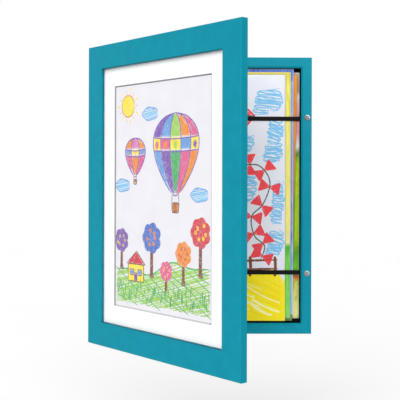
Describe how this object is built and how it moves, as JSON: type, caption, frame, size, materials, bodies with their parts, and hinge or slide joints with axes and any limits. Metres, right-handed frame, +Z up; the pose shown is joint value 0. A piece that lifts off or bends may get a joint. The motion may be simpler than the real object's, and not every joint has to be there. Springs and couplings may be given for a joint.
{
  "type": "picture frame with storage box",
  "caption": "Wall frame whose glazed front is a hinged door with a mat and a picture, over a shallow box that keeps more drawings behind elastic straps.",
  "frame": {"origin": "middle notch of the portrait sawtooth hanger, on the wall plane", "axes": "+Z up, +Y into the wall, so the front faces -Y and the door is hinged on the -X side"},
  "size_m": [0.3039, 0.2656, 0.4],
  "materials": {
    "teal_painted_wood": "satin teal paint",
    "black_felt": "matte black felt",
    "black_elastic": "woven black elastic",
    "black_faced_board": "hardboard with a matte black face",
    "drawing_paper": "matte",
    "display_paper": "matte",
    "white_mat_board": "matte white",
    "grey_board": "plain grey board",
    "clear_glazing": "clear acrylic",
    "nickelled_magnet": "satin nickel",
    "strike_steel": "satin",
    "hinge_steel": "nickelled",
    "brassed_steel": "dull brass plate",
    "zinc_plated_steel": "zinc plated",
    "fastener_steel": "plain steel"
  },
  "bodies": {
    "box": {"back_panel_brads": "fastener_steel", "box_back_panel": "black_faced_board", "box_bottom_rail": "teal_painted_wood", "box_corner_nails": "fastener_steel", "box_hinge_stile": "teal_painted_wood", "box_latch_stile": "teal_painted_wood", "box_top_rail": "teal_painted_wood", "hanger_rivets": "brassed_steel", "hinge_lower_box_leaf": "hinge_steel", "hinge_lower_pin": "hinge_steel", "hinge_screws_box": "fastener_steel", "hinge_upper_box_leaf": "hinge_steel", "hinge_upper_pin": "hinge_steel", "latch_magnet_lower": "nickelled_magnet", "latch_magnet_upper": "nickelled_magnet", "liner_bottom": "black_felt", "liner_hinge_side": "black_felt", "liner_latch_side": "black_felt", "liner_top": "black_felt", "sawtooth_hanger_landscape": "brassed_steel", "sawtooth_hanger_portrait": "brassed_steel", "sheet_pack": "drawing_paper", "stored_sheet_1": "drawing_paper", "stored_sheet_2": "drawing_paper", "stored_sheet_3": "drawing_paper", "stored_sheet_4": "drawing_paper", "stored_sheet_5": "drawing_paper", "strap_lower": "black_elastic", "strap_staples": "fastener_steel", "strap_upper": "black_elastic"},
    "door": {"display_sheet": "display_paper", "door_backing_board": "grey_board", "door_bottom_rail": "teal_painted_wood", "door_corner_nails": "fastener_steel", "door_hinge_stile": "teal_painted_wood", "door_latch_stile": "teal_painted_wood", "door_top_rail": "teal_painted_wood", "glazing_sheet": "clear_glazing", "hinge_lower_door_leaf": "hinge_steel", "hinge_screws_door": "fastener_steel", "hinge_upper_door_leaf": "hinge_steel", "mat_board": "white_mat_board", "strike_plate_lower": "strike_steel", "strike_plate_upper": "strike_steel", "strike_screws": "fastener_steel", "turn_button_screws": "fastener_steel"},
    "turn_button_hinge_upper": {"turn_button_hinge_upper": "zinc_plated_steel"},
    "turn_button_hinge_lower": {"turn_button_hinge_lower": "zinc_plated_steel"},
    "turn_button_latch_upper": {"turn_button_latch_upper": "zinc_plated_steel"},
    "turn_button_latch_lower": {"turn_button_latch_lower": "zinc_plated_steel"},
    "turn_button_top": {"turn_button_top": "zinc_plated_steel"},
    "turn_button_bottom": {"turn_button_bottom": "zinc_plated_steel"}
  },
  "joints": [
    {"name": "door_hinge", "type": "hinge", "parent": "box", "child": "door", "pos_m": [-0.1464, -0.0226, -0.1665], "axis": [0, 0, -1], "range_deg": [-51.7, 53.3]},
    {"name": "turn_button_hinge_upper_pivot", "type": "hinge", "parent": "door", "child": "turn_button_hinge_upper", "pos_m": [-0.13919, -0.0327, -0.0865], "axis": [0.7848, 0.6198, 0], "range_deg": [0, 90]},
    {"name": "turn_button_hinge_lower_pivot", "type": "hinge", "parent": "door", "child": "turn_button_hinge_lower", "pos_m": [-0.13919, -0.0327, -0.2465], "axis": [0.7848, 0.6198, 0], "range_deg": [0, 90]},
    {"name": "turn_button_latch_upper_pivot", "type": "hinge", "parent": "door", "child": "turn_button_latch_upper", "pos_m": [0.02692, -0.24302, -0.0865], "axis": [0.7848, 0.6198, 0], "range_deg": [0, 90]},
    {"name": "turn_button_latch_lower_pivot", "type": "hinge", "parent": "door", "child": "turn_button_latch_lower", "pos_m": [0.02692, -0.24302, -0.2465], "axis": [0.7848, 0.6198, 0], "range_deg": [0, 90]},
    {"name": "turn_button_top_pivot", "type": "hinge", "parent": "door", "child": "turn_button_top", "pos_m": [-0.05614, -0.13786, 0.012], "axis": [0.7848, 0.6198, 0], "range_deg": [0, 90]},
    {"name": "turn_button_bottom_pivot", "type": "hinge", "parent": "door", "child": "turn_button_bottom", "pos_m": [-0.05614, -0.13786, -0.345], "axis": [0.7848, 0.6198, 0], "range_deg": [0, 90]}
  ]
}
